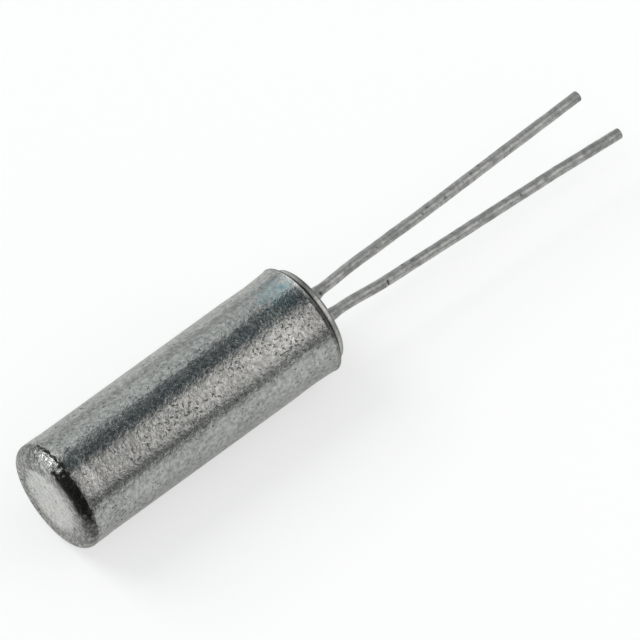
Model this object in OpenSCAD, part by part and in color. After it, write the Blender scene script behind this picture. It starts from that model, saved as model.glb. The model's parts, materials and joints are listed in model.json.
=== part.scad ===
// Cylindrical quartz crystal unit with two wire leads.
// A drawn can is pressed over a glass-to-metal header, and a quartz tuning fork is soldered
// to the flattened inner ends of the leads. The unit lies on its side, leads along +X, on
// the plane z = 0. All sizes are in millimetres.

/* [Can] */
// Outer diameter of the straight wall
can_d = 3.0; // [2.4:0.05:4.2]
// Length from the closed end to the rim
can_len = 8.15; // [6.6:0.05:12]
// Thickness of the drawn wall
can_wall = 0.16; // [0.12:0.01:0.22]
// Thickness of the closed end
can_end = 0.2; // [0.12:0.01:0.4]
// Outside radius of the corner round the closed end
corner_r = 0.26; // [0.18:0.01:0.4]
// Inside radius of the same corner
corner_in_r = 0.12; // [0.06:0.01:0.16]
// How proud the shoulder stands behind the corner
shoulder_rise = 0.015; // [0.005:0.005:0.04]
// Length of the shoulder
shoulder_len = 0.4; // [0.2:0.05:0.8]
// Depth of the crease between corner and shoulder
crease_depth = 0.02; // [0.005:0.001:0.04]

/* [Rim] */
// How proud the lip stands at the rim
lip_rise = 0.035; // [0.01:0.005:0.06]
// Length of the lip
lip_len = 0.35; // [0.2:0.01:0.5]
// Depth of the waist behind the pressed-in header
waist_depth = 0.014; // [0.005:0.001:0.03]
// Length of the waist
waist_len = 0.9; // [0.5:0.05:1.2]
// Rounding of the lip's outer edge
lip_edge_r = 0.03; // [0.02:0.005:0.04]
// Depth of the fine line rolled in near the rim
line_depth = 0.014; // [0.005:0.001:0.03]
// How far behind the rim that line lies
line_back = 0.065; // [0.065:0.005:0.2]
// How far the mouth of the can opens away from the header
mouth_gap = 0.06; // [0.02:0.01:0.1]

/* [Header] */
// Length of the header ring
ring_len = 1.5; // [1.0:0.05:2.2]
// Radial thickness of the header ring
ring_wall = 0.29; // [0.2:0.01:0.3]
// How far the ring stands out of the can
ring_out = 0.25; // [0.1:0.01:0.5]
// Rounding of the ring's outer edge
ring_edge_r = 0.06; // [0.04:0.01:0.18]
// How deep the glass lies below the ring's two faces
glass_recess = 0.06; // [0.02:0.01:0.15]
// Height to which the glass creeps along each wire on the inside
meniscus = 0.05; // [0.02:0.01:0.08]

/* [Leads] */
// Diameter of each wire
lead_d = 0.29; // [0.22:0.01:0.36]
// Distance between the two wires in the glass
lead_pitch = 1.1; // [0.9:0.05:1.35]
// How far each wire reaches into the can below the ring
lead_in = 0.95; // [0.7:0.05:1.2]
// Diameter of the solder build-up at each wire's root
root_d = 0.46; // [0.38:0.01:0.5]
// Height of the build-up above the ring on wire a
root_len_a = 0.8; // [0.3:0.05:0.9]
// Height of the build-up above the ring on wire b
root_len_b = 0.5; // [0.3:0.05:0.9]
// Width of the flattened inner end
paddle_w = 0.4; // [0.36:0.01:0.46]
// Thickness of the flattened inner end
paddle_t = 0.15; // [0.1:0.01:0.2]
// Length of the flattened inner end
paddle_len = 0.7; // [0.4:0.05:0.7]
// Chamfer of the cut tips
tip_chamfer = 0.03; // [0.01:0.005:0.06]

/* [Quartz fork] */
// Thickness of the quartz blank
fork_t = 0.35; // [0.2:0.01:0.4]
// Length of the solid base
fork_base_len = 1.75; // [1.2:0.05:2.1]
// Slot between the two tines
tine_gap = 0.3; // [0.2:0.01:0.4]
// Depth of the notch on each side of the base
notch_depth = 0.12; // [0.05:0.01:0.2]
// Length of the notch
notch_len = 0.3; // [0.2:0.01:0.5]
// Room between the base and the round part of the wires
root_gap = 0.05; // [0.02:0.01:0.2]
// Room between the tine ends and the closed end of the can
tip_gap = 0.6; // [0.3:0.05:1.0]
// Thickness of solder between the wires and the fork
solder_film = 0.03; // [0.02:0.005:0.06]

/* [Pose] */
// How far the plane of the leads is turned up from level
lead_tilt = 27.6; // [0:0.1:90]
// Direction in which the wires were spread, turned from the plane of the leads
spread_turn = 54; // [0:1:90]

/* [Hidden] */
round_fn = 96; // facets of the can and the header
wire_fn = 32; // facets of the wires
eps = 0.01; // overshoot of a cut past a surface
lap = 0.05; // overlap of a straight wire length and a bend
bend_swell = 0.003; // how much thicker a wire's radius is in a bend

// Along the unit's own axis, z = 0 is the outside of the closed end.
can_r = can_d / 2;
bore_r = can_r - can_wall;
shoulder_r = can_r + shoulder_rise;
lip_r = can_r + lip_rise;
rest_r = max(shoulder_r, lip_r);
fade_len = 0.12; // length over which a proud band blends into the wall
crease_w = 0.06;
line_w = 0.04;
lip_taper = 0.9; // share of the lip's rise that builds up along the lip itself

ring_top = can_len + ring_out;
ring_foot = ring_top - ring_len;
glass_r = bore_r - ring_wall;
glass_top = ring_top - glass_recess;
glass_foot = ring_foot + glass_recess;

lead_r = lead_d / 2;
paddle_foot = ring_foot - lead_in;
round_foot = paddle_foot + paddle_len;

fork_w = lead_pitch + paddle_w;
fork_top = round_foot - root_gap;
fork_foot = can_end + tip_gap;
tine_top = fork_top - fork_base_len;
// The fork lies on the flat sides of the paddles.
fork_side = paddle_t / 2 + solder_film;

bead_r = 0.26; // radius of a solder bead where it lies on the fork
bead_h = 0.22; // height of a solder bead above the fork
bead_ball = (bead_r * bead_r + bead_h * bead_h) / (2 * bead_h);
bead_z = (paddle_foot + fork_top) / 2;
bead_x = fork_w / 2 - bead_r - 0.02;

// Each wire above the ring: straight length, then a bend in degrees and its radius.
// Bends are towards the side to which that wire was spread.
WIRE_A = [[root_len_a + 0.05, 3.1, 6], [0.42, -2.8, 8], [2.2, 0.8, 10], [5.11, 0, 0]];
WIRE_B = [[root_len_b + 0.05, 6, 4], [0.75, -2.9, 6], [5.3, 1, 10], [1.93, 0, 0]];

// Length along the axis that a wire reaches, from its first step on
function reach(steps, turned = 0, i = 0) =
    i == len(steps) ? 0 :
    let (bend = steps[i][1], r = steps[i][2])
    steps[i][0] * cos(turned)
    + (bend == 0 ? 0 : sign(bend) * r * (sin(turned + bend) - sin(turned)))
    + reach(steps, turned + bend, i + 1);

unit_len = ring_top + max(reach(WIRE_A), reach(WIRE_B));

// Lays the unit down: its own axis goes along +X, with the middle of its length at x = 0.
// What is round lies without the wires' tilt.
module laid(tilt = lead_tilt) {
    translate([-unit_len / 2, 0, rest_r])
    rotate([0, 90, 0])
    rotate([0, 0, -90 - tilt])
    children();
}

// ---------- Can ----------

// What rounding takes off a corner at radius r and height z
module corner_cut(r, z, corner) {
    difference() {
        translate([r - corner, z - eps]) square([corner + eps, corner + eps]);
        translate([r - corner, z + corner]) circle(corner, $fn = 48);
    }
}

// Outline of the can: shoulder with its crease, straight wall, waist, flared lip with its line.
// Shoulder and lip taper a little all along, so the straight wall is the only true cylinder.
module can_outside() {
    crease_z = corner_r + crease_w / 2;
    shoulder_end = corner_r + shoulder_len;
    line_z = can_len - line_back;
    lip_foot = can_len - lip_len;
    waist_start = lip_foot - waist_len;
    function lip_at(z) = lip_r - lip_rise * lip_taper * (can_len - z) / lip_len;
    difference() {
        polygon([
            [0, 0], [shoulder_r, 0],
            [shoulder_r, crease_z - crease_w / 2], [shoulder_r - crease_depth, crease_z],
            [shoulder_r, crease_z + crease_w / 2],
            [can_r + shoulder_rise * 0.7, shoulder_end], [can_r, shoulder_end + fade_len],
            [can_r, waist_start], [can_r - waist_depth, waist_start + 2 * fade_len],
            [can_r - waist_depth, lip_foot - fade_len], [lip_at(lip_foot), lip_foot],
            [lip_at(line_z - line_w / 2), line_z - line_w / 2],
            [lip_at(line_z) - line_depth, line_z],
            [lip_at(line_z + line_w / 2), line_z + line_w / 2],
            [lip_r, can_len], [0, can_len]
        ]);
        corner_cut(shoulder_r, 0, corner_r);
        translate([0, can_len]) mirror([0, 1]) corner_cut(lip_r, 0, lip_edge_r);
    }
}

// Hollow of the can, with its mouth opened away from the header
module can_inside() {
    difference() {
        polygon([
            [0, can_end], [bore_r, can_end], [bore_r, can_len - 2 * mouth_gap],
            [bore_r + mouth_gap, can_len], [bore_r + mouth_gap, can_len + eps], [0, can_len + eps]
        ]);
        corner_cut(bore_r, can_end, corner_in_r);
    }
}

module can_section() {
    difference() {
        can_outside();
        can_inside();
    }
}

module can() {
    color("silver") laid(0) rotate_extrude($fn = round_fn) can_section();
}

// ---------- Header ----------

module header_ring() {
    color("lightgray") laid(0) rotate_extrude($fn = round_fn) {
        translate([glass_r, ring_foot]) square([ring_wall, ring_len - ring_edge_r]);
        translate([glass_r, ring_foot]) square([ring_wall - ring_edge_r, ring_len]);
        translate([bore_r - ring_edge_r, ring_top - ring_edge_r]) circle(ring_edge_r, $fn = 32);
    }
}

// Places a child at each wire's hole: side is -1 for wire A, +1 for wire B
module at_lead(side) {
    translate([side * lead_pitch / 2, 0, 0]) children();
}

module glass_seal() {
    color([0.30, 0.38, 0.40]) laid() difference() {
        union() {
            translate([0, 0, glass_foot])
            cylinder(h = glass_top - glass_foot, r = glass_r, $fn = round_fn);
            for (side = [-1, 1]) at_lead(side)
                translate([0, 0, glass_foot - meniscus])
                cylinder(h = meniscus, r1 = lead_r + meniscus / 2, r2 = lead_r + 2 * meniscus,
                         $fn = wire_fn);
        }
        for (side = [-1, 1]) at_lead(side)
            translate([0, 0, ring_foot - ring_len])
            cylinder(h = 3 * ring_len, r = lead_r, $fn = wire_fn);
    }
}

// ---------- Leads ----------

// A wire that starts at the origin along +Z and bends towards +X, step after step. Each
// straight length laps into the bends at its ends, which are a hair thicker.
module wire_run(steps, i = 0) {
    straight = steps[i][0];
    bend = steps[i][1];
    r = steps[i][2];
    back = i == 0 ? 0 : lap;
    if (i == len(steps) - 1) {
        translate([0, 0, -back])
        cylinder(h = straight - tip_chamfer + back, r = lead_r, $fn = wire_fn);
        translate([0, 0, straight - tip_chamfer])
        cylinder(h = tip_chamfer, r1 = lead_r, r2 = lead_r - tip_chamfer, $fn = wire_fn);
    } else {
        translate([0, 0, -back])
        cylinder(h = straight + back + lap, r = lead_r, $fn = wire_fn);
        turn = bend < 0 ? 180 : 0;
        translate([0, 0, straight])
        rotate([0, 0, turn])
        translate([r, 0, 0]) {
            rotate([90, 0, 180])
            rotate_extrude(angle = abs(bend), $fn = 180)
            translate([r, 0]) circle(lead_r + bend_swell, $fn = wire_fn);
            rotate([0, abs(bend), 0]) translate([-r, 0, 0])
            rotate([0, 0, -turn])
            wire_run(steps, i + 1);
        }
    }
}

// Wire through the glass, with its inner end flattened to a paddle
module lead(side, steps, root_len) {
    root_foot = glass_recess + root_len / 4;
    at_lead(side) {
        translate([0, 0, round_foot])
        cylinder(h = ring_top - round_foot, r = lead_r, $fn = wire_fn);
        translate([-paddle_w / 2, -paddle_t / 2, paddle_foot])
        cube([paddle_w, paddle_t, paddle_len]);
        // solder build-up on the root
        translate([0, 0, glass_top])
        cylinder(h = root_foot, r = root_d / 2, $fn = wire_fn);
        translate([0, 0, glass_top + root_foot])
        cylinder(h = glass_recess + root_len - root_foot, r1 = root_d / 2, r2 = lead_r + eps,
                 $fn = wire_fn);
        translate([0, 0, ring_top])
        rotate([0, 0, spread_turn + (side < 0 ? 180 : 0)])
        wire_run(steps);
    }
}

module lead_a() {
    color("darkgray") laid() lead(-1, WIRE_A, root_len_a);
}

module lead_b() {
    color("darkgray") laid() lead(1, WIRE_B, root_len_b);
}

// ---------- Quartz fork ----------

module fork_outline() {
    tine_w = (fork_w - tine_gap) / 2;
    difference() {
        translate([-fork_w / 2, fork_foot]) square([fork_w, fork_top - fork_foot]);
        // slot with a round crotch
        translate([-tine_gap / 2, fork_foot - eps]) square([tine_gap, tine_top - fork_foot + eps]);
        translate([0, tine_top]) circle(d = tine_gap, $fn = wire_fn);
        // notches that keep the tines' motion out of the soldered end
        for (side = [-1, 1])
            translate([side * fork_w / 2, (tine_top + paddle_foot) / 2])
            square([2 * notch_depth, notch_len], center = true);
    }
}

module quartz_fork() {
    color([0.86, 0.80, 0.62]) laid()
    translate([0, fork_side + fork_t, 0]) rotate([90, 0, 0])
    linear_extrude(height = fork_t) fork_outline();
}

// A bead of solder that wets the fork's flat face and wraps its wire's paddle
module solder(side) {
    difference() {
        intersection() {
            translate([side * bead_x, fork_side + bead_ball - bead_h, bead_z])
            sphere(bead_ball, $fn = 48);
            translate([side * bead_x - bead_r, fork_side - bead_h, bead_z - bead_r])
            cube([2 * bead_r, bead_h, 2 * bead_r]);
        }
        at_lead(side)
        translate([-paddle_w / 2, -paddle_t / 2, paddle_foot])
        cube([paddle_w, paddle_t, paddle_len]);
    }
}

module solder_a() {
    color("gray") laid() solder(-1);
}

module solder_b() {
    color("gray") laid() solder(1);
}

can();
header_ring();
glass_seal();
lead_a();
lead_b();
quartz_fork();
solder_a();
solder_b();
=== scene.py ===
import json
import math

import bmesh
import bpy
from mathutils import Matrix, Vector, noise


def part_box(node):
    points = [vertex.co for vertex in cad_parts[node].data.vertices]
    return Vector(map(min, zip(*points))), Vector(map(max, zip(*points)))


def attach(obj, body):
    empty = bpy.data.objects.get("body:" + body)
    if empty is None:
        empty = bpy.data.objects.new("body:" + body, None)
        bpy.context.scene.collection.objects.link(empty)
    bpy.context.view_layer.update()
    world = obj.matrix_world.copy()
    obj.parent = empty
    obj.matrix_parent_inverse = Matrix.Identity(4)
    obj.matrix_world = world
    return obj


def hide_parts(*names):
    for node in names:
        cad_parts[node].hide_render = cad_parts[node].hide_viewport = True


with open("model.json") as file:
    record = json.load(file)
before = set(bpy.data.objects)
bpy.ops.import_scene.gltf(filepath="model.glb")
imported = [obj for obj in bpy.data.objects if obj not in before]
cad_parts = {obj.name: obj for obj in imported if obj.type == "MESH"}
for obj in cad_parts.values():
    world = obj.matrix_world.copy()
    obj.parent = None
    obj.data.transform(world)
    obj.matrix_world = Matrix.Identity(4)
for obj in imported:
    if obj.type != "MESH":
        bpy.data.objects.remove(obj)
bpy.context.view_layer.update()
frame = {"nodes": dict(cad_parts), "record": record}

cadNodes = frame["nodes"]
mounts = {m["name"]: m for m in frame["record"]["mounts"]}
canBox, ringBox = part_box("can"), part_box("header_ring")
mm = 0.001
samePoint = 1e-4        # millimetres within which two points are one
broadRounding = 0.08    # millimetres from which a rounded ring gets more steps

# The unit's own axis runs up +Z from the closed end, in millimetres. layDown puts it on its
# side in the frame, in metres.
pose = {
    "closedEnd": canBox[0].x,                        # where the can starts along X
    "axisHeight": mounts["can_body"]["pos_m"][2],    # of the can's axis over the floor
    "leadTilt": 27.6,                                # degrees from level to the leads' plane
}
canStart = Vector((pose["closedEnd"], 0, pose["axisHeight"]))
layDown = (
    Matrix.Translation(canStart)
    @ Matrix.Rotation(math.radians(90), 4, "Y")
    @ Matrix.Rotation(math.radians(-90 - pose["leadTilt"]), 4, "Z")
    @ Matrix.Scale(mm, 4)
)


def millimetres(metres):
    return round(metres / mm, 4)


# Mesh helpers

def addObject(bm, name, material):
    mesh = bpy.data.meshes.new(name)
    bm.to_mesh(mesh)
    bm.free()
    mesh.materials.append(material)
    new = bpy.data.objects.new(name, mesh)
    bpy.context.scene.collection.objects.link(new)
    return new


def finishPiece(bm, name, replaced, material):
    bmesh.ops.transform(bm, matrix=layDown, verts=bm.verts)
    for face in bm.faces:
        face.smooth = True
    piece = addObject(bm, name, material)
    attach(piece, "root")
    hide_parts(replaced)


def bevelEdges(bm, edges, offset, segments):
    bmesh.ops.bevel(bm, geom=edges, offset=offset, offset_type="OFFSET", segments=segments,
                    profile=0.5, affect="EDGES", clamp_overlap=True, material=-1)


def roundRing(bm, height, radius, rounding):
    def onRing(vert):
        return (abs(vert.co.z - height) < samePoint
                and abs(vert.co.xy.length - radius) < samePoint)
    ring = [e for e in bm.edges if onRing(e.verts[0]) and onRing(e.verts[1])]
    bevelEdges(bm, ring, rounding, 10 if rounding >= broadRounding else 4)


def turnOutline(outline, steps, closed=False):
    # outline is a list of (height, radius, rounding): spun into a shell, then its rings rounded
    bm = bmesh.new()
    verts = [bm.verts.new((radius, 0, height)) for height, radius, _ in outline]
    edges = [bm.edges.new(pair) for pair in zip(verts, verts[1:])]
    if closed:
        edges.append(bm.edges.new((verts[-1], verts[0])))
    bmesh.ops.spin(bm, geom=verts + edges, cent=(0, 0, 0), axis=(0, 0, 1), dvec=(0, 0, 0),
                   angle=math.tau, steps=steps, use_merge=True)
    bmesh.ops.remove_doubles(bm, verts=bm.verts, dist=samePoint)
    bmesh.ops.recalc_face_normals(bm, faces=bm.faces)
    for height, radius, rounding in outline:
        if rounding:
            roundRing(bm, height, radius, rounding)
    return bm


def growRing(bm, ring, move):
    # extrudes a loop of edges and moves the copy
    grown = bmesh.ops.extrude_edge_only(bm, edges=ring)["geom"]
    verts = [g for g in grown if isinstance(g, bmesh.types.BMVert)]
    bmesh.ops.transform(bm, matrix=move, verts=verts)
    new = set(verts)
    return [g for g in grown if isinstance(g, bmesh.types.BMEdge)
            and g.verts[0] in new and g.verts[1] in new]


# Node helpers

def feed(tree, node, feeds):
    # links what is a socket, and sets what is a value
    for key, value in feeds.items():
        if isinstance(value, bpy.types.NodeSocket):
            tree.links.new(value, node.inputs[key])
        else:
            node.inputs[key].default_value = value


def addNode(tree, kind, feeds=None, **settings):
    node = tree.nodes.new(kind)
    for key, value in settings.items():
        setattr(node, key, value)
    feed(tree, node, feeds or {})
    return node


def calc(tree, operation, a, b):
    return addNode(tree, "ShaderNodeMath", {0: a, 1: b}, operation=operation).outputs[0]


def multiply(tree, first, *others):
    for other in others:
        first = calc(tree, "MULTIPLY", first, other)
    return first


def vectorCalc(tree, operation, a, b):
    return addNode(tree, "ShaderNodeVectorMath", {0: a, 1: b}, operation=operation).outputs


def remap(tree, value, low, high, toLow=0.0, toHigh=1.0):
    return addNode(tree, "ShaderNodeMapRange", {"Value": value, "From Min": low,
                   "From Max": high, "To Min": toLow, "To Max": toHigh},
                   interpolation_type="SMOOTHSTEP").outputs["Result"]


def fall(tree, value, low, high):
    # 1 below low, 0 above high
    return remap(tree, value, low, high, 1.0, 0.0)


def makeBand(tree, value, low, high, soft):
    # 1 between low and high, fading over soft on each side
    return multiply(tree, remap(tree, value, low - soft, low),
                    fall(tree, value, high, high + soft))


def mixColour(tree, share, a, b, blend="MIX"):
    # sockets 6 and 7 are the two colours
    return addNode(tree, "ShaderNodeMix", {0: share, 6: a, 7: b}, data_type="RGBA",
                   blend_type=blend).outputs[2]


def lay(tree, color, tone, *masks):
    # tone over color, as far as the masks together let it
    return mixColour(tree, multiply(tree, *masks), color, tone)


def addNoise(tree, place, scale, detail, roughness=0.5, distortion=0.0):
    # its values keep about 0.5, so it's remapped from a span about 0.5
    return addNode(tree, "ShaderNodeTexNoise", {"Vector": place, "Scale": scale,
                   "Detail": detail, "Roughness": roughness,
                   "Distortion": distortion}).outputs["Fac"]


def addBump(tree, height, distance):
    return addNode(tree, "ShaderNodeBump", {"Height": height, "Distance": distance,
                   "Strength": 1.0}).outputs["Normal"]


def newGroup(name, inputs, outputs):
    # inputs are (label, kind, default) and outputs (label, kind)
    group = bpy.data.node_groups.new(name, "ShaderNodeTree")
    for label, kind, default in inputs:
        socket = group.interface.new_socket(label, in_out="INPUT",
                                            socket_type="NodeSocket" + kind)
        if default is not None:
            socket.default_value = default
    for label, kind in outputs:
        group.interface.new_socket(label, in_out="OUTPUT", socket_type="NodeSocket" + kind)
    return group, addNode(group, "NodeGroupInput").outputs


def useGroup(tree, group, feeds):
    return addNode(tree, "ShaderNodeGroup", feeds, node_tree=group).outputs


def blankMaterial(name):
    material = bpy.data.materials.new(name)
    material.use_nodes = True
    material.node_tree.nodes.clear()
    return material, material.node_tree


def newMaterial(name):
    material, tree = blankMaterial(name)
    shader = addNode(tree, "ShaderNodeBsdfPrincipled")
    addNode(tree, "ShaderNodeOutputMaterial", {"Surface": shader.outputs[0]})
    place = addNode(tree, "ShaderNodeTexCoord").outputs["Object"]
    return material, tree, shader, place


# Shared effects

def makePlateGrain():
    # tumbled plate: fine orange peel over soft lumps, with ragged pits that crowd in patches
    group, given = newGroup("plateGrain", [
        ("Vector", "Vector", None),
        ("Grain Scale", "Float", 14000.0),
        ("Pit Scale", "Float", 11000.0),
        ("Pit Share", "Float", 0.35),
        ("Pit Depth", "Float", 1.0),
    ], [("Height", "Float"), ("Pits", "Float"), ("Grain", "Float"), ("Speckle", "Float")])
    place, scale = given["Vector"], given["Grain Scale"]
    grain = addNoise(group, place, scale, 3.0, 0.6)
    lumps = addNoise(group, place, multiply(group, scale, 0.45), 2.0)
    speckle = addNoise(group, place, multiply(group, scale, 0.62), 5.0, 0.72)
    patch = addNoise(group, place, 900.0, 2.0)                   # where pits are few or many
    ragged = addNoise(group, place, given["Pit Scale"], 1.5)
    share = multiply(group, given["Pit Share"], remap(group, patch, 0.35, 0.65, 0.5, 1.3))
    level = calc(group, "ADD", multiply(group, share, 0.16), 0.27)      # noise below it is a pit
    pits = remap(group, calc(group, "SUBTRACT", level, ragged), 0.0, 0.05)
    height = calc(group, "ADD", grain, multiply(group, lumps, 1.1))
    height = calc(group, "SUBTRACT", height, multiply(group, pits, given["Pit Depth"]))
    addNode(group, "NodeGroupOutput", {"Height": height, "Pits": pits, "Grain": grain,
            "Speckle": speckle})
    return group


def makeTarnish():
    # soft uneven dulling, coarse and fine at once
    group, given = newGroup("tarnish", [
        ("Vector", "Vector", None),
        ("Scale", "Float", 1500.0),
        ("Color", "Color", (0.6, 0.6, 0.6, 1)),
        ("Dull Color", "Color", (0.4, 0.4, 0.4, 1)),
        ("Amount", "Float", 0.5),
    ], [("Color", "Color"), ("Mask", "Float")])
    coarse = addNoise(group, given["Vector"], given["Scale"], 4.0, 0.62)
    mask = multiply(group, remap(group, coarse, 0.38, 0.68), given["Amount"])
    color = mixColour(group, mask, given["Color"], given["Dull Color"])
    addNode(group, "NodeGroupOutput", {"Color": color, "Mask": mask})
    return group


def makeUnitSpace():
    # millimetres in the unit's own space: Height from the closed end, Radius from the axis
    group, given = newGroup("unitSpace", [("Vector", "Vector", None)],
                            [("Vector", "Vector"), ("Height", "Float"), ("Radius", "Float")])
    centred = vectorCalc(group, "SUBTRACT", given["Vector"], canStart)[0]
    place = addNode(group, "ShaderNodeVectorMath", {0: centred, "Scale": 1 / mm},
                    operation="SCALE").outputs[0]
    offAxis = vectorCalc(group, "MULTIPLY", place, (0, 1, 1))[0]
    height = addNode(group, "ShaderNodeSeparateXYZ", {0: place}).outputs[0]
    radius = addNode(group, "ShaderNodeVectorMath", {0: offAxis}, operation="LENGTH")
    addNode(group, "NodeGroupOutput", {"Vector": place, "Height": height,
            "Radius": radius.outputs["Value"]})
    return group


def makeSpot():
    # a ragged round patch about a point, in millimetres
    group, given = newGroup("spot", [
        ("Vector", "Vector", None),
        ("Center", "Vector", (0, 0, 0)),
        ("Size", "Float", 0.1),
        ("Raggedness", "Float", 0.5),
        ("Noise Scale", "Float", 10.0),
    ], [("Mask", "Float")])
    far = vectorCalc(group, "DISTANCE", given["Vector"], given["Center"])["Value"]
    ragged = addNoise(group, given["Vector"], given["Noise Scale"], 3.0)
    wander = multiply(group, calc(group, "SUBTRACT", ragged, 0.5), given["Raggedness"], 4.0)
    reach = calc(group, "ADD", calc(group, "DIVIDE", far, given["Size"]), wander)
    addNode(group, "NodeGroupOutput", {"Mask": fall(group, reach, 0.4, 1.1)})
    return group


plateGrain = makePlateGrain()
tarnish = makeTarnish()
unitSpace = makeUnitSpace()
spot = makeSpot()
print("shared effects made")


# Can

can = {
    "radius": mounts["can_body"]["dims"]["r_mm"],
    "length": millimetres(canBox[1].x - canBox[0].x),
    "wall": 0.16, "endWall": 0.2, "corner": 0.26, "innerCorner": 0.12,
    "shoulderRise": 0.015, "shoulderLength": 0.4, "shoulderTaper": 0.7, "fade": 0.12,
    "shoulderRounding": 0.04,
    "creaseDepth": 0.01, "creaseWidth": 0.06, "creaseRounding": (0.012, 0.015, 0.015),
    "waistStart": 1.35, "waistRounding": 0.18,
    # waist and flared lip: how far below the rim, how far outside the straight wall, rounding
    "flare": [(1.05, -0.010, 0), (0.88, -0.0135, 0), (0.7, -0.0125, 0), (0.55, -0.007, 0),
              (0.4, -0.0003, 0), (0.25, 0.0065, 0.02), (0.2, 0.0110, 0.02), (0.1, 0.0155, 0.01)],
    "lipRise": 0.035, "lipEdge": 0.03,
    # fine line rolled into the lip; its sides stand this far over the flare's last ring, and
    # this far under the lip
    "lineDepth": 0.014, "lineWidth": 0.04, "lineBack": 0.065, "lineRounding": 0.006,
    "lineSides": (0.004, 0.006),
    "mouthGap": 0.06, "mouthDepth": 0.12, "mouthEdge": 0.015, "boreRounding": 0.02,
    # rings of mesh: on the end face outside and inside, up the wall and clear of its two ends
    "faceRings": (0.5, 1.0, 1.22), "innerFaceRing": 1.0, "innerWallRing": 0.2,
    "wallRings": 12, "wallMargins": (0.08, 0.2), "facets": 192,
    "unevenness": 0.0012, "unevenScale": 0.9,
    "finish": {
        "grain": {"Grain Scale": 14000.0, "Pit Scale": 12500.0, "Pit Depth": 1.2},
        "grainDepth": 8e-6,
        "color": (0.77, 0.77, 0.75, 1), "specks": (0.39, 0.395, 0.39, 1),
        "dull": {"Scale": 1200.0, "Color": (1, 1, 1, 1), "Dull Color": (0.86, 0.86, 0.86, 1),
                 "Amount": 0.8},
        "streaks": (0.40, 0.41, 0.41, 1), "streakWeight": 0.22,
        "streakScale": 6500.0, "streakLength": 9.0,
        # the mottle colour is also laid over the whole corner ring as painted shade
        "mottle": (0.22, 0.22, 0.21, 1), "mottleWeight": 0.3, "mottleHeight": 1.6,
        "mottleGrain": {"Scale": 8500.0, "Amount": 1.5},
        "endFace": (0.76, 0.76, 0.74, 1), "endFaceWeight": 0.4,
        "pits": (0.14, 0.14, 0.14, 1), "pitWeight": 0.75,
        # share of pits everywhere, and what each zone adds
        "pitShare": 0.42,
        "morePits": {"nearEnd": 0.2, "corner": 0.15, "endFace": -0.3, "worn": 0.32},
        # zones: from where to where a mask changes, along the can or out from its axis. The
        # worn stripe has two limits along Y, two along the can, and how far it fades past them
        "cornerHeights": (0.24, 0.34), "cornerRadii": (0.72, 1.12),
        "nearEndHeights": (0.3, 3.2), "wallHeights": (0.3, 0.5),
        "faceHeights": (0.02, 0.05), "faceRadii": (0.55, 1.15),
        "wornAcross": (-1.0, -0.55, 0.3), "wornHeights": (2.9, 7.3, 0.9),
        # patches: middle, size, raggedness, and the scale of the noise that frays the edge.
        # A tint adds its weight and colour to that, and a patch of the painted dark band its
        # weight
        # painted highlights: pale patches where the corner and the lip catch the light
        "rubbed": [((0.14, 0.22, 1.45), 0.42, 0.8, 9.0), ((8.06, 0.34, 1.49), 0.45, 0.8, 9.0)],
        "rubbedColor": (0.84, 0.84, 0.82, 1), "rubbedWeight": 0.75,
        "tints": [(((7.5, 0.33, 1.46), 0.62, 0.8, 5.0), 0.42, (0.36, 0.53, 0.59, 1)),
                  (((7.80, 0.358, 1.456), 0.11, 0.45, 9.0), 0.65, (0.20, 0.40, 0.52, 1))],
        # painted shade: near black painted into the corner's dark reflection, the crease, the
        # lip's line and the mouth
        "grime": (0.022, 0.022, 0.02, 1), "grimeWeight": 0.96,
        "soot": [(((0.1, -0.46, 1.37), 0.56, 0.55, 8.0), 1.0),
                 (((0.1, -0.76, 1.23), 0.56, 0.55, 8.0), 1.0),
                 (((0.1, -1.06, 0.99), 0.56, 0.55, 8.0), 1.0),
                 (((0.1, -1.38, 0.42), 0.56, 0.55, 8.0), 0.36)],
        "sootHeights": (0.26, 0.31), "sootRadii": (1.05, 1.36), "sootFray": 0.22,
        "creaseDirt": ((0.27, 0.25, 1.48), 0.78, 0.6, 7.0), "creaseBand": (0.275, 0.325, 0.03),
        "lineDirt": ((8.09, -0.84, 1.29), 1.0, 0.5, 7.0), "lineDirtWeight": 0.55,
        # bands are two limits and how far they fade past them; turns are two limits and the
        # mask's value at each. Their limits here are heights over the rim
        "lineBand": (-0.09, -0.04, 0.02), "mouthBand": (-0.015, 0.15, 0.02),
        # painted shade darkens the lip's edge
        "rimTurn": (-0.05, -0.02, 0.0, 0.6), "rimColor": (0.3, 0.3, 0.3, 1),
        "bareRim": (1.44, 1.5, 0.015), "bareRimWeight": 0.85,    # radii the mouth's painted shade spares
        "roughness": (0.155, 0.255), "pitRoughness": 0.25, "grimeRoughness": 0.3,
        "rimRoughness": (-0.12, -0.05, 0.0, 0.25),
    },
}


def addStreaks(tree, place, scale, length):
    # faint streaks along X, as the drawing die leaves them
    stretched = vectorCalc(tree, "MULTIPLY", place, (1 / length, 1, 1))[0]
    return remap(tree, addNoise(tree, stretched, scale, 3.0, 0.6), 0.32, 0.68)


def addPatch(tree, unit, patch):
    middle, size, raggedness, scale = patch
    return useGroup(tree, spot, {"Vector": unit["Vector"], "Center": middle, "Size": size,
                    "Raggedness": raggedness, "Noise Scale": scale})["Mask"]


def lift(values, base):
    # the first two values are heights over base, and become heights from the closed end
    return base + values[0], base + values[1], *values[2:]


def findZones(tree, unit, f):
    height, radius = unit["Height"], unit["Radius"]
    across = addNode(tree, "ShaderNodeSeparateXYZ", {0: unit["Vector"]}).outputs[1]
    return {
        "corner": multiply(tree, fall(tree, height, *f["cornerHeights"]),
                           remap(tree, radius, *f["cornerRadii"])),
        "nearEnd": fall(tree, height, *f["nearEndHeights"]),
        "endFace": multiply(tree, fall(tree, radius, *f["faceRadii"]),
                            fall(tree, height, *f["faceHeights"])),
        "worn": multiply(tree, makeBand(tree, across, *f["wornAcross"]),
                         makeBand(tree, height, *f["wornHeights"])),
        "wall": remap(tree, height, *f["wallHeights"]),
    }


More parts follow.
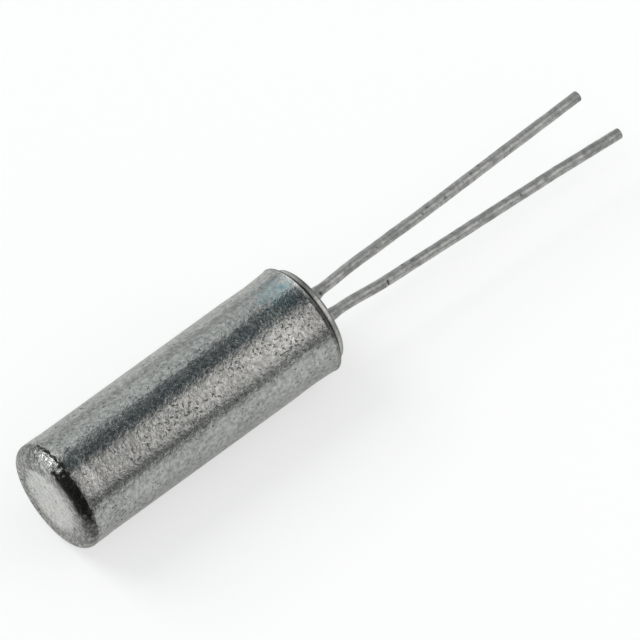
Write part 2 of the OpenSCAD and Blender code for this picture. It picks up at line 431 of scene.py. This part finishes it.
def addPaintedShade(tree, unit, speckle, f, top):
    # painted shade: a black band painted on the corner where it mirrors dark, and dark painted
    # into the crease, the lip's line and the mouth, where shade falls
    height, radius = unit["Height"], unit["Radius"]
    fray = multiply(tree, calc(tree, "SUBTRACT", speckle, 0.5), f["sootFray"])
    frayed = calc(tree, "ADD", height, fray)
    onCorner = multiply(tree, fall(tree, frayed, *f["sootHeights"]),
                        remap(tree, radius, *f["sootRadii"]))
    soot = 0.0
    for patch, weight in f["soot"]:
        soot = calc(tree, "MAXIMUM", soot, multiply(tree, addPatch(tree, unit, patch), weight))
    inCrease = multiply(tree, makeBand(tree, frayed, *f["creaseBand"]),
                        addPatch(tree, unit, f["creaseDirt"]))
    inLine = multiply(tree, addPatch(tree, unit, f["lineDirt"]),
                      makeBand(tree, height, *lift(f["lineBand"], top)), f["lineDirtWeight"])
    bare = multiply(tree, makeBand(tree, radius, *f["bareRim"]), f["bareRimWeight"])
    inMouth = multiply(tree, makeBand(tree, height, *lift(f["mouthBand"], top)),
                       calc(tree, "SUBTRACT", 1.0, bare))
    grime = multiply(tree, onCorner, soot)
    for more in (inCrease, inLine, inMouth):
        grime = calc(tree, "MAXIMUM", grime, more)
    return grime


def makeCanPlate(f, top):
    material, tree, shader, place = newMaterial("satinPlate")
    unit = useGroup(tree, unitSpace, {"Vector": place})
    height = unit["Height"]
    zones = findZones(tree, unit, f)
    pitShare = f["pitShare"]
    for zone, more in f["morePits"].items():
        pitShare = calc(tree, "ADD", pitShare, multiply(tree, zones[zone], more))
    grain = useGroup(tree, plateGrain, {"Vector": place, "Pit Share": pitShare, **f["grain"]})
    dull = useGroup(tree, tarnish, {"Vector": place, **f["dull"]})
    streaks = addStreaks(tree, place, f["streakScale"], f["streakLength"])
    mottle = useGroup(tree, tarnish, {"Vector": place, **f["mottleGrain"]})["Mask"]
    grime = addPaintedShade(tree, unit, grain["Speckle"], f, top)

    color = mixColour(tree, remap(tree, grain["Speckle"], 0.34, 0.66), f["specks"], f["color"])
    color = mixColour(tree, 1.0, color, dull["Color"], blend="MULTIPLY")
    color = lay(tree, color, f["streaks"], streaks, zones["wall"], f["streakWeight"])
    color = lay(tree, color, f["endFace"], zones["endFace"], f["endFaceWeight"])
    # painted shade darkens the whole corner ring; the mottle over it is the plate's own
    color = lay(tree, color, f["mottle"], zones["corner"], f["mottleWeight"])
    color = lay(tree, color, f["mottle"], mottle, zones["corner"])
    # painted highlights on the corner and the lip
    for patch in f["rubbed"]:
        color = lay(tree, color, f["rubbedColor"], addPatch(tree, unit, patch),
                    f["rubbedWeight"])
    # painted shade on the lip's edge
    color = lay(tree, color, f["rimColor"], remap(tree, height, *lift(f["rimTurn"], top)))
    for patch, weight, tint in f["tints"]:
        color = lay(tree, color, tint, addPatch(tree, unit, patch), weight)
    # painted shade and painted dark reflection, nearly black
    color = lay(tree, color, f["grime"], grime, f["grimeWeight"])
    color = lay(tree, color, f["pits"], grain["Pits"], f["pitWeight"])

    rough = remap(tree, grain["Grain"], 0.3, 0.7, *f["roughness"])
    for more in (multiply(tree, grain["Pits"], f["pitRoughness"]),
                 multiply(tree, grime, f["grimeRoughness"]),
                 remap(tree, height, *lift(f["rimRoughness"], top))):
        rough = calc(tree, "ADD", rough, more)
    lumps = multiply(tree, mottle, zones["corner"], f["mottleHeight"])
    normal = addBump(tree, calc(tree, "ADD", grain["Height"], lumps), f["grainDepth"])
    feed(tree, shader, {"Base Color": color, "Metallic": 1.0, "Roughness": rough,
         "Normal": normal})
    return material


def makeCan(c, material):
    r, top = c["radius"], c["length"]
    shoulder, bore = r + c["shoulderRise"], r - c["wall"]
    shoulderEnd = c["corner"] + c["shoulderLength"]
    crease = c["corner"] + c["creaseWidth"] / 2
    before, within, after = c["creaseRounding"]
    line = top - c["lineBack"]
    half = c["lineWidth"] / 2
    lineStart = r + c["flare"][-1][1] + c["lineSides"][0]
    lineEnd = r + c["lipRise"] - c["lineSides"][1]

    outline = [(0, 0, 0)] + [(0, ring, 0) for ring in c["faceRings"]]
    outline += [(0, shoulder, c["corner"]),
                (crease - c["creaseWidth"] / 2, shoulder, before),
                (crease, shoulder - c["creaseDepth"], within),
                (crease + c["creaseWidth"] / 2, shoulder, after),
                (shoulderEnd, r + c["shoulderRise"] * c["shoulderTaper"], c["shoulderRounding"]),
                (shoulderEnd + c["fade"], r, c["shoulderRounding"])]
    wallStart = shoulderEnd + c["fade"] + c["wallMargins"][0]
    wallEnd = top - c["waistStart"] - c["wallMargins"][1]
    rings = c["wallRings"]
    outline += [(wallStart + (wallEnd - wallStart) * i / rings, r, 0) for i in range(rings + 1)]
    outline += [(top - c["waistStart"], r, c["waistRounding"])]
    outline += [(top - back, r + over, rounding) for back, over, rounding in c["flare"]]
    outline += [(line - half, lineStart, c["lineRounding"]),
                (line, lineStart - c["lineDepth"], c["lineRounding"]),
                (line + half, lineEnd, c["lineRounding"]),
                (top, r + c["lipRise"], c["lipEdge"]),
                (top, bore + c["mouthGap"], c["mouthEdge"]),
                (top - c["mouthDepth"], bore, c["boreRounding"]),
                (c["endWall"] + c["innerWallRing"], bore, 0),
                (c["endWall"], bore, c["innerCorner"]),
                (c["endWall"], c["innerFaceRing"], 0), (c["endWall"], 0, 0)]
    bm = turnOutline(outline, c["facets"])
    for vert in bm.verts:      # the drawn wall is never quite even
        if vert.co.xy.length > r - c["wall"] / 2:
            push = noise.noise(vert.co * c["unevenScale"]) * c["unevenness"]
            vert.co.xy *= 1 - abs(push) / r
    finishPiece(bm, "canShell", "can", material)


makeCan(can, makeCanPlate(can["finish"], can["length"]))
print("can made")


# Header

header = {
    "length": millimetres(ringBox[1].x - ringBox[0].x),
    "out": millimetres(ringBox[1].x - canBox[1].x),      # how much of it stands out of the can
    "wall": 0.29, "edge": 0.06, "innerEdge": 0.03, "footEdge": 0.02, "facets": 144,
    "supports": (0.3, 0.15), "faceSupport": 0.13,        # rings that keep the edge crisp
    "finish": {
        "grain": {"Grain Scale": 18000.0, "Pit Scale": 13000.0, "Pit Share": 0.3,
                  "Pit Depth": 1.0},
        "grainDepth": 4e-6, "roughness": (0.26, 0.36),
        "dull": {"Scale": 3500.0, "Color": (0.67, 0.67, 0.65, 1),
                 "Dull Color": (0.42, 0.42, 0.41, 1), "Amount": 0.9},
        # painted shade in the joint with the can: heights over the can's rim, and the mask at each
        "jointTurn": (0.085, 0.125, 0.95, 0.0), "jointColor": (0.05, 0.05, 0.047, 1),
        # painted shade on the outer top edge: heights over the ring's top, and radii beyond its
        # outside
        "edgeHeights": (-0.08, -0.055), "edgeRadii": (-0.1, -0.04), "edgeWeight": 0.4,
        "edgeColor": (0.1, 0.1, 0.095, 1),
        "pits": (0.2, 0.2, 0.2, 1), "pitWeight": 0.6,
    },
}
glass = {
    "recess": 0.06, "rings": 22, "facets": 120,
    # how high the glass creeps up at a wire, over what width, and from how far off the wire
    "creep": 0.05, "creepWidth": 0.06, "collarGap": 0.06,
    "rimCreep": 0.8, "rimWidth": 0.05, "footCreep": 0.8,    # shares of creep, at ring and foot
    "finish": {
        "colors": ((0.055, 0.085, 0.095, 1), (0.10, 0.15, 0.155, 1)), "swirlScale": 2200.0,
        "rippleScale": 6000.0, "rippleDepth": 3e-6, "roughness": 0.12, "ior": 1.5,
    },
}
headerTop = can["length"] + header["out"]
headerFoot = headerTop - header["length"]
ringOuter = can["radius"] - can["wall"]
glassRadius = ringOuter - header["wall"]
glassTop = headerTop - glass["recess"]
glassFoot = headerFoot + glass["recess"]


def makeHeaderPlate(f):
    material, tree, shader, place = newMaterial("headerPlate")
    unit = useGroup(tree, unitSpace, {"Vector": place})
    grain = useGroup(tree, plateGrain, {"Vector": place, **f["grain"]})
    dull = useGroup(tree, tarnish, {"Vector": place, **f["dull"]})
    jointShadeMask = remap(tree, unit["Height"], *lift(f["jointTurn"], can["length"]))
    edge = multiply(tree, remap(tree, unit["Height"], *lift(f["edgeHeights"], headerTop)),
                    remap(tree, unit["Radius"], *(ringOuter + r for r in f["edgeRadii"])))
    # painted shade in the joint with the can and on the ring's outer edge
    color = lay(tree, dull["Color"], f["jointColor"], jointShadeMask)
    color = lay(tree, color, f["edgeColor"], edge, f["edgeWeight"])
    color = lay(tree, color, f["pits"], grain["Pits"], f["pitWeight"])
    feed(tree, shader, {"Base Color": color, "Metallic": 1.0,
         "Roughness": remap(tree, grain["Grain"], 0.3, 0.7, *f["roughness"]),
         "Normal": addBump(tree, grain["Height"], f["grainDepth"])})
    return material


def makeSealGlass(f):
    material, tree, shader, place = newMaterial("sealGlass")
    swirl = addNoise(tree, place, f["swirlScale"], 3.0, distortion=1.2)
    ripple = addNoise(tree, place, f["rippleScale"], 1.0)
    feed(tree, shader, {
        "Base Color": mixColour(tree, remap(tree, swirl, 0.35, 0.65), *f["colors"]),
        "Roughness": f["roughness"], "IOR": f["ior"],
        "Normal": addBump(tree, ripple, f["rippleDepth"])})
    return material


def makeEyelet(h, material):
    outline = [(headerFoot, glassRadius, h["footEdge"]), (headerFoot, ringOuter, h["footEdge"])]
    outline += [(headerTop - down, ringOuter, 0) for down in h["supports"]]
    outline += [(headerTop, ringOuter, h["edge"]), (headerTop, ringOuter - h["faceSupport"], 0),
                (headerTop, glassRadius, h["innerEdge"])]
    bm = turnOutline(outline, h["facets"], closed=True)
    finishPiece(bm, "headerEyelet", "header_ring", material)


def makeGlassBead(g, w, material):
    rings = g["rings"]
    outline = [(glassTop, glassRadius * i / rings, 0) for i in range(rings + 1)]
    outline += [(glassFoot, glassRadius * (rings - i) / rings, 0) for i in range(rings + 1)]
    bm = turnOutline(outline, g["facets"])
    centres = [Vector((side * w["pitch"] / 2, 0)) for side in (-1, 1)]
    for vert in bm.verts:      # the glass creeps up the ring and the wires
        toWire = min((vert.co.xy - centre).length for centre in centres)
        near = max(toWire - w["radius"] - g["collarGap"], 0)
        rim = glassRadius - vert.co.xy.length
        creep = g["creep"] * (math.exp(-near / g["creepWidth"])
                              + g["rimCreep"] * math.exp(-rim / g["rimWidth"]))
        upper = vert.co.z > (glassTop + glassFoot) / 2
        vert.co.z += creep if upper else -creep * g["footCreep"]
    finishPiece(bm, "glassBead", "glass_seal", material)


# Leads

wire = {
    "radius": mounts["lead_a_end"]["dims"]["r_mm"], "pitch": 1.1, "spreadTurn": 54,
    "facets": 32, "ringStep": 0.05, "tipRounding": 0.03,
    "unevenness": 0.005, "unevenScale": 3.1, "unevenMiddle": 0.35,
    # flattened inner end; neck is its half width and half thickness, as shares of the radius,
    # where it turns into round wire
    "reachIn": 0.95, "paddleWidth": 0.4, "paddleThickness": 0.15, "paddleLength": 0.7,
    "paddleEnd": 0.03, "paddleTaper": 0.12, "neck": (1.08, 0.85), "neckLength": 0.1,
    "underGlass": 0.02,      # how far below the glass's face the solder starts to widen
    "finish": {
        "grain": {"Grain Scale": 12000.0, "Pit Scale": 7500.0, "Pit Share": 0.4,
                  "Pit Depth": 0.9},
        "grainDepth": 6e-6, "roughness": (0.42, 0.55),
        "dull": {"Scale": 3200.0, "Color": (0.72, 0.72, 0.71, 1),
                 "Dull Color": (0.46, 0.465, 0.46, 1), "Amount": 0.8},
        "specks": (0.72, 0.72, 0.72, 1), "pits": (0.16, 0.16, 0.16, 1), "pitWeight": 0.7,
        # painted shade in the dents: its size against theirs, raggedness, and the scale of its
        # edge
        "dirt": (0.05, 0.05, 0.05, 1), "dirtWeight": 0.85, "dirtPatch": (1.3, 0.3, 20.0),
    },
}
# bends: a straight length, then a bend in degrees and its radius, from the ring on.
# collar: the solder on the root, as height above the glass, radius and lean to the other wire.
# dents: at is in millimetres from the closed end on the can's axis, along and across are a
# dent's half sizes on the wire.
wires = {
    "A": {"side": -1,
          "bends": [(0.85, 3.1, 6), (0.42, -2.8, 8), (2.2, 0.8, 10), (5.11, 0, 0)],
          "collar": [(0.0, 0.23, 0), (0.06, 0.228, 0.005), (0.16, 0.218, 0.012),
                     (0.3, 0.202, 0.02), (0.45, 0.19, 0.025), (0.6, 0.182, 0.028),
                     (0.7, 0.176, 0.026), (0.76, 0.164, 0.014), (0.84, 0.150, 0.004),
                     (0.91, 0.146, 0)],
          "dents": [{"at": (9.068, 0.345, -0.159), "along": 0.045, "across": 0.055,
                     "deep": 0.06}]},
    "B": {"side": 1,
          "bends": [(0.55, 6, 4), (0.75, -2.9, 6), (5.3, 1, 10), (1.93, 0, 0)],
          "collar": [(0.0, 0.23, 0), (0.05, 0.226, 0), (0.12, 0.212, 0.003),
                     (0.2, 0.196, 0.006), (0.3, 0.182, 0.008), (0.4, 0.168, 0.005),
                     (0.5, 0.153, 0.002), (0.56, 0.146, 0)],
          "dents": [{"at": (8.67, -0.617, 0.409), "along": 0.035, "across": 0.035,
                     "deep": 0.04},
                    {"at": (8.744, -0.466, 0.44), "along": 0.03, "across": 0.03, "deep": 0.03},
                    {"at": (10.384, -0.715, 0.245), "along": 0.022, "across": 0.09,
                     "deep": 0.045}]},
}


def makeWirePlate(f):
    material, tree, shader, place = newMaterial("dullWire")
    unit = useGroup(tree, unitSpace, {"Vector": place})
    grain = useGroup(tree, plateGrain, {"Vector": place, **f["grain"]})
    dull = useGroup(tree, tarnish, {"Vector": place, **f["dull"]})
    color = mixColour(tree, remap(tree, grain["Speckle"], 0.34, 0.66), f["specks"],
                      (1, 1, 1, 1))
    color = mixColour(tree, 1.0, color, dull["Color"], blend="MULTIPLY")
    color = lay(tree, color, f["pits"], grain["Pits"], f["pitWeight"])
    size, raggedness, scale = f["dirtPatch"]
    for dent in wires["A"]["dents"] + wires["B"]["dents"]:      # painted shade sits in each
        squash = Vector((dent["across"] / dent["along"], 1, 1))
        squashed = vectorCalc(tree, "MULTIPLY", unit["Vector"], squash)[0]
        dirt = addPatch(tree, {"Vector": squashed}, (Vector(dent["at"]) * squash,
                        dent["across"] * size, raggedness, scale))
        color = lay(tree, color, f["dirt"], dirt, f["dirtWeight"])
    feed(tree, shader, {"Base Color": color, "Metallic": 1.0,
         "Roughness": remap(tree, dull["Mask"], 0.0, 0.8, *f["roughness"]),
         "Normal": addBump(tree, grain["Height"], f["grainDepth"])})
    return material


def pressDents(bm, marks):
    for mark in marks:
        at = layDown.inverted() @ (Vector(mark["at"]) * mm + canStart)
        reach = 2 * max(mark["along"], mark["across"])
        for _ in range(2):      # finer mesh about the dent, twice over
            near = [e for e in bm.edges
                    if ((e.verts[0].co + e.verts[1].co) / 2 - at).length < reach]
            bmesh.ops.subdivide_edges(bm, edges=near, cuts=1, use_grid_fill=True)
        bm.normal_update()
        for vert in bm.verts:
            away = vert.co - at
            far = (away.z / mark["along"]) ** 2 + (away.xy.length / mark["across"]) ** 2
            vert.co -= vert.normal * mark["deep"] * math.exp(-far)


def findStations(run, w):
    # sections of the wire up to the solder's end: height, half width, half thickness, lean
    foot = headerFoot - w["reachIn"]
    neck = foot + w["paddleLength"]
    wide, thin, r = w["paddleWidth"] / 2, w["paddleThickness"] / 2, w["radius"]
    stations = [(foot, wide, thin, 0), (foot + w["paddleEnd"], wide, thin, 0),
                (neck - w["paddleTaper"], wide, thin, 0),
                (neck, r * w["neck"][0], r * w["neck"][1], 0),
                (neck + w["neckLength"], r, r, 0), (glassTop - w["underGlass"], r, r, 0)]
    return stations + [(glassTop + up, radius, radius, lean) for up, radius, lean in run["collar"]]


def startWire(bm, root, side, stations, w):
    def place(station):
        height, wide, thin, lean = station
        return (root @ Matrix.Translation((-side * lean, 0, height)),
                Matrix.Diagonal((wide, thin, 1, 1)))
    bmesh.ops.create_circle(bm, cap_ends=True, segments=w["facets"], radius=1.0)
    ring = list(bm.edges)
    at, size = place(stations[0])
    bmesh.ops.transform(bm, verts=bm.verts, matrix=at @ size)
    for last, new in zip(stations, stations[1:]):
        scale = Matrix.Diagonal((new[1] / last[1], new[2] / last[2], 1, 1))
        ring = growRing(bm, ring, place(new)[0] @ scale @ place(last)[0].inverted())
    return ring


def bendWire(bm, ring, at, run, w, done):
    # done is how much of the first straight is made already
    for straight, bend, bendRadius in run["bends"]:
        length = straight - done
        count = max(1, round(length / w["ringStep"]))
        for _ in range(count):
            step = at.to_3x3() @ Vector((0, 0, length / count))
            ring = growRing(bm, ring, Matrix.Translation(step))
        at = at @ Matrix.Translation((0, 0, straight))
        done = 0
        if bend:
            angle = math.radians(bend)
            centre = at @ Vector((math.copysign(bendRadius, bend), 0, 0))
            axis = at.to_3x3() @ Vector((0, 1, 0))
            count = max(2, round(abs(angle) * bendRadius / w["ringStep"]))
            verts = list({v for e in ring for v in e.verts})
            last = bmesh.ops.spin(bm, geom=verts + ring, cent=centre, axis=axis,
                                  dvec=(0, 0, 0), angle=angle, steps=count)["geom_last"]
            ring = [g for g in last if isinstance(g, bmesh.types.BMEdge)]
            at = (Matrix.Translation(centre) @ Matrix.Rotation(angle, 4, axis)
                  @ Matrix.Translation(-centre) @ at)
    return ring


def makeWire(letter, run, w, material):
    side = run["side"]
    root = Matrix.Translation((side * w["pitch"] / 2, 0, 0))
    stations = findStations(run, w)
    bm = bmesh.new()
    ring = startWire(bm, root, side, stations, w)
    turned = math.radians(w["spreadTurn"] + (180 if side < 0 else 0))
    at = root @ Matrix.Translation((0, 0, headerTop)) @ Matrix.Rotation(turned, 4, "Z")
    ring = bendWire(bm, ring, at, run, w, stations[-1][0] - headerTop)
    tip = bmesh.ops.contextual_create(bm, geom=ring)["faces"][0]
    bevelEdges(bm, list(tip.edges), w["tipRounding"], 3)
    bmesh.ops.recalc_face_normals(bm, faces=bm.faces)
    bm.normal_update()
    for vert in bm.verts:      # dipped wire is a little uneven
        if vert.co.z > headerTop:
            swell = noise.noise(vert.co * w["unevenScale"] + Vector((side * 5.0, 0, 0)))
            vert.co += vert.normal * (swell - w["unevenMiddle"]) * w["unevenness"]
    pressDents(bm, run["dents"])
    finishPiece(bm, "lead" + letter, "lead_" + letter.lower(), material)


makeEyelet(header, makeHeaderPlate(header["finish"]))
makeGlassBead(glass, wire, makeSealGlass(glass["finish"]))
print("header made")
dullWire = makeWirePlate(wire["finish"])
for letter, run in wires.items():
    makeWire(letter, run, wire, dullWire)
print("leads made")


# The CAD nodes sealed inside keep their shape

quartz = {
    "bare": (0.86, 0.84, 0.78, 1), "film": (0.80, 0.74, 0.55, 1), "filmScale": 3000.0,
    "roughness": 0.15, "ior": 1.54, "transmission": 0.6,
}
solder = {
    "dull": {"Scale": 6000.0, "Color": (0.62, 0.62, 0.61, 1),
             "Dull Color": (0.42, 0.42, 0.41, 1), "Amount": 0.7},
    "roughness": (0.16, 0.34),
}


def makeFilmedQuartz(q):
    material, tree, shader, place = newMaterial("filmedQuartz")
    film = remap(tree, addNoise(tree, place, q["filmScale"], 2.0), 0.4, 0.6)
    feed(tree, shader, {"Base Color": mixColour(tree, film, q["bare"], q["film"]),
         "Roughness": q["roughness"], "IOR": q["ior"], "Transmission Weight": q["transmission"]})
    return material


def makeBrightSolder(s):
    material, tree, shader, place = newMaterial("brightSolder")
    dull = useGroup(tree, tarnish, {"Vector": place, **s["dull"]})
    feed(tree, shader, {"Base Color": dull["Color"], "Metallic": 1.0,
         "Roughness": remap(tree, dull["Mask"], 0.0, 0.7, *s["roughness"])})
    return material


def dress(node, material):
    mesh = cadNodes[node].data
    mesh.materials.clear()
    mesh.materials.append(material)


brightSolder = makeBrightSolder(solder)
dress("quartz_fork", makeFilmedQuartz(quartz))
dress("solder_a", brightSolder)
dress("solder_b", brightSolder)
print("fork and solder finished")


# Camera

view = {
    "azimuth": -40.561, "elevation": 57.897,
    "distance": 0.35, "lens": 790.9, "sensor": 36.0, "clip": (0.01, 2.0),
    "aim": (8.4865, -0.3074, 1.535),     # millimetres from under the closed end
}


def addCamera(v):
    data = bpy.data.cameras.new("camera")
    data.lens, data.sensor_width = v["lens"], v["sensor"]
    data.clip_start, data.clip_end = v["clip"]
    camera = bpy.data.objects.new("camera", data)
    bpy.context.scene.collection.objects.link(camera)
    a, e = math.radians(v["azimuth"]), math.radians(v["elevation"])
    back = Vector((math.sin(a) * math.cos(e), -math.cos(a) * math.cos(e), math.sin(e)))
    aim = Vector(v["aim"]) * mm + Vector((pose["closedEnd"], 0, 0))
    camera.location = aim + back * v["distance"]
    camera.rotation_mode = "QUATERNION"
    camera.rotation_quaternion = (-back).to_track_quat("-Z", "Y")
    bpy.context.scene.camera = camera


addCamera(view)


# Studio

studio = {
    "floorSize": 0.9, "floorColor": (0.55, 0.55, 0.55, 1), "floorGlow": 0.575,
    "mirroredGlow": 0.24, "mirroredColor": (1, 0.995, 0.96, 1),    # the floor as metal shows it
    # pale patch before the closed end, and the radii over which it fades
    "bounceAt": (-0.0103, 0.0012, 0), "bounce": 0.19, "bounceRadii": (0.001, 0.005),
    "room": (0.47, 0.50, 0.49, 1), "cardSteps": 12,
}
# Long cards bent round the can's axis. angles run from -Y (0) over the top (90) to +Y (180),
# reach is from where to where along X and distance from the axis, in metres.
panels = {
    "keyPanel": {"angles": (24.5, 82), "reach": (0.0095, 0.028), "distance": 0.055,
                 "glow": 0.83, "color": (1, 0.975, 0.935)},
    "wirePanel": {"angles": (34, 80), "reach": (0.028, 0.042), "distance": 0.055,
                  "glow": 1.7, "color": (1, 0.985, 0.96)},
    "backPanel": {"angles": (114, 150), "reach": (-0.19, -0.03), "distance": 0.3,
                  "glow": 4.0, "color": (1, 1, 1)},
}
# Dark cards that only the metal sees: they lay the dark bands on it and shade nothing.
flags = {
    "skyEdge": {"angles": (128, 134), "reach": (0.004, 0.0245), "distance": 0.059,
                "color": (0.84, 0.88, 0.87)},
    "farFlag": {"angles": (171, 181), "reach": (0.004, 0.0245), "distance": 0.059,
                "color": (0.36, 0.37, 0.37)},
    "skyCard": {"angles": (134, 162), "reach": (0.004, 0.0245), "distance": 0.059,
                "color": (0.60, 0.64, 0.63)},
    "topFlag": {"angles": (84, 126), "reach": (0.007, 0.0245), "distance": 0.058,
                "color": (0.006, 0.024, 0.034)},
    "frontFlag": {"angles": (6.5, 22.5), "reach": (0.009, 0.0245), "distance": 0.058,
                  "color": (0.04, 0.04, 0.037)},
    "wireFlag": {"angles": (118, 158), "reach": (0.0245, 0.09), "distance": 0.058,
                 "color": (0.12, 0.12, 0.12)},
    "leftFlag": {"angles": (-2, 104), "reach": (-0.035, 0.008), "distance": 0.057,
                 "color": (0.1, 0.1, 0.1)},
    "leftCard": {"angles": (-2, 104), "reach": (-0.09, -0.035), "distance": 0.057,
                 "color": (0.26, 0.26, 0.26)},
    "rightFlag": {"angles": (8, 127), "reach": (0.05, 0.08), "distance": 0.0575,
                  "color": (0.03, 0.03, 0.03)},
}
# Flat dark cards square to X or to Z, between two corners, seen only in the metal.
walls = {
    "endFlag": {"low": (-0.06, -0.06, 0), "high": (-0.06, 0.008, 0.06),
                "color": (0.28, 0.28, 0.28)},
    "cornerFlag": {"low": (-0.0205, -0.02, 0.0002), "high": (-0.0095, -0.003, 0.0002),
                   "color": (0.02, 0.02, 0.02)},
    "tableFlag": {"low": (-0.09, -0.09, 0.0003), "high": (-0.0145, 0.004, 0.0003),
                  "color": (0.01, 0.01, 0.01)},
}


def addStage(bm, name, tree, material, surface):
    addNode(tree, "ShaderNodeOutputMaterial", {"Surface": surface.outputs[0]})
    card = addObject(bm, name, material)
    return card


def makeSheet(size):
    bm = bmesh.new()
    bmesh.ops.create_grid(bm, x_segments=1, y_segments=1, size=size / 2)
    return bm


def addFloor(s):
    material, tree = blankMaterial("paleFloor")
    path = addNode(tree, "ShaderNodeLightPath").outputs
    seen = path["Is Camera Ray"]
    mirrored = calc(tree, "ADD", path["Is Glossy Ray"], path["Is Transmission Ray"])
    place = addNode(tree, "ShaderNodeTexCoord").outputs["Object"]
    far = vectorCalc(tree, "DISTANCE", place, s["bounceAt"])["Value"]
    shown = calc(tree, "ADD", remap(tree, far, *s["bounceRadii"], s["bounce"], 0.0),
                 s["mirroredGlow"])
    glow = calc(tree, "ADD", multiply(tree, seen, s["floorGlow"]),
                multiply(tree, mirrored, shown))
    tone = mixColour(tree, seen, s["mirroredColor"], (1, 1, 1, 1))
    white = addNode(tree, "ShaderNodeEmission", {"Color": tone, "Strength": glow})
    paper = addNode(tree, "ShaderNodeBsdfDiffuse", {"Color": s["floorColor"]})
    both = addNode(tree, "ShaderNodeAddShader", {0: paper.outputs[0], 1: white.outputs[0]})
    addStage(makeSheet(s["floorSize"]), "floor", tree, material, both)


def addCard(bm, name, color, glow, mirrorOnly):
    material, tree = blankMaterial(name)
    light = addNode(tree, "ShaderNodeEmission", {"Color": (*color, 1), "Strength": glow})
    card = addStage(bm, name, tree, material, light)
    card.visible_camera = False
    card.visible_diffuse = card.visible_shadow = not mirrorOnly


def addStrip(name, p, mirrorOnly):
    low, high = (math.radians(angle) for angle in p["angles"])
    bm = bmesh.new()
    out = Vector((0, -math.cos(low), math.sin(low))) * p["distance"]
    axisPoint = Vector((0, 0, pose["axisHeight"]))
    ends = [bm.verts.new(axisPoint + out + Vector((x, 0, 0))) for x in p["reach"]]
    edge = bm.edges.new(ends)
    bmesh.ops.spin(bm, geom=ends + [edge], cent=axisPoint, axis=(-1, 0, 0), dvec=(0, 0, 0),
                   angle=high - low, steps=studio["cardSteps"])
    addCard(bm, name, p["color"], p.get("glow", 1.0), mirrorOnly)


def addWall(name, p):
    low, high = Vector(p["low"]), Vector(p["high"])
    size = high - low
    bm = makeSheet(1.0)
    if size.x == 0:
        bmesh.ops.rotate(bm, verts=bm.verts, matrix=Matrix.Rotation(math.radians(90), 3, "Y"))
    bmesh.ops.transform(bm, verts=bm.verts, matrix=Matrix.Translation((low + high) / 2)
                        @ Matrix.Diagonal((size.x or 1, size.y, size.z or 1, 1)))
    addCard(bm, name, p["color"], 1.0, mirrorOnly=True)


def addWorld(s):
    world = bpy.data.worlds.new("room")
    bpy.context.scene.world = world
    world.use_nodes = True
    tree = world.node_tree
    tree.nodes.clear()
    path = addNode(tree, "ShaderNodeLightPath")
    color = mixColour(tree, path.outputs["Is Camera Ray"], s["room"], (1, 1, 1, 1))
    air = addNode(tree, "ShaderNodeBackground", {"Color": color, "Strength": 1.0})
    addNode(tree, "ShaderNodeOutputWorld", {"Surface": air.outputs[0]})


addFloor(studio)
addWorld(studio)
for name, panel in panels.items():
    addStrip(name, panel, mirrorOnly=False)
for name, flag in flags.items():
    addStrip(name, flag, mirrorOnly=True)
for name, wall in walls.items():
    addWall(name, wall)

bpy.context.scene.view_settings.view_transform = "Standard"
print("studio made")
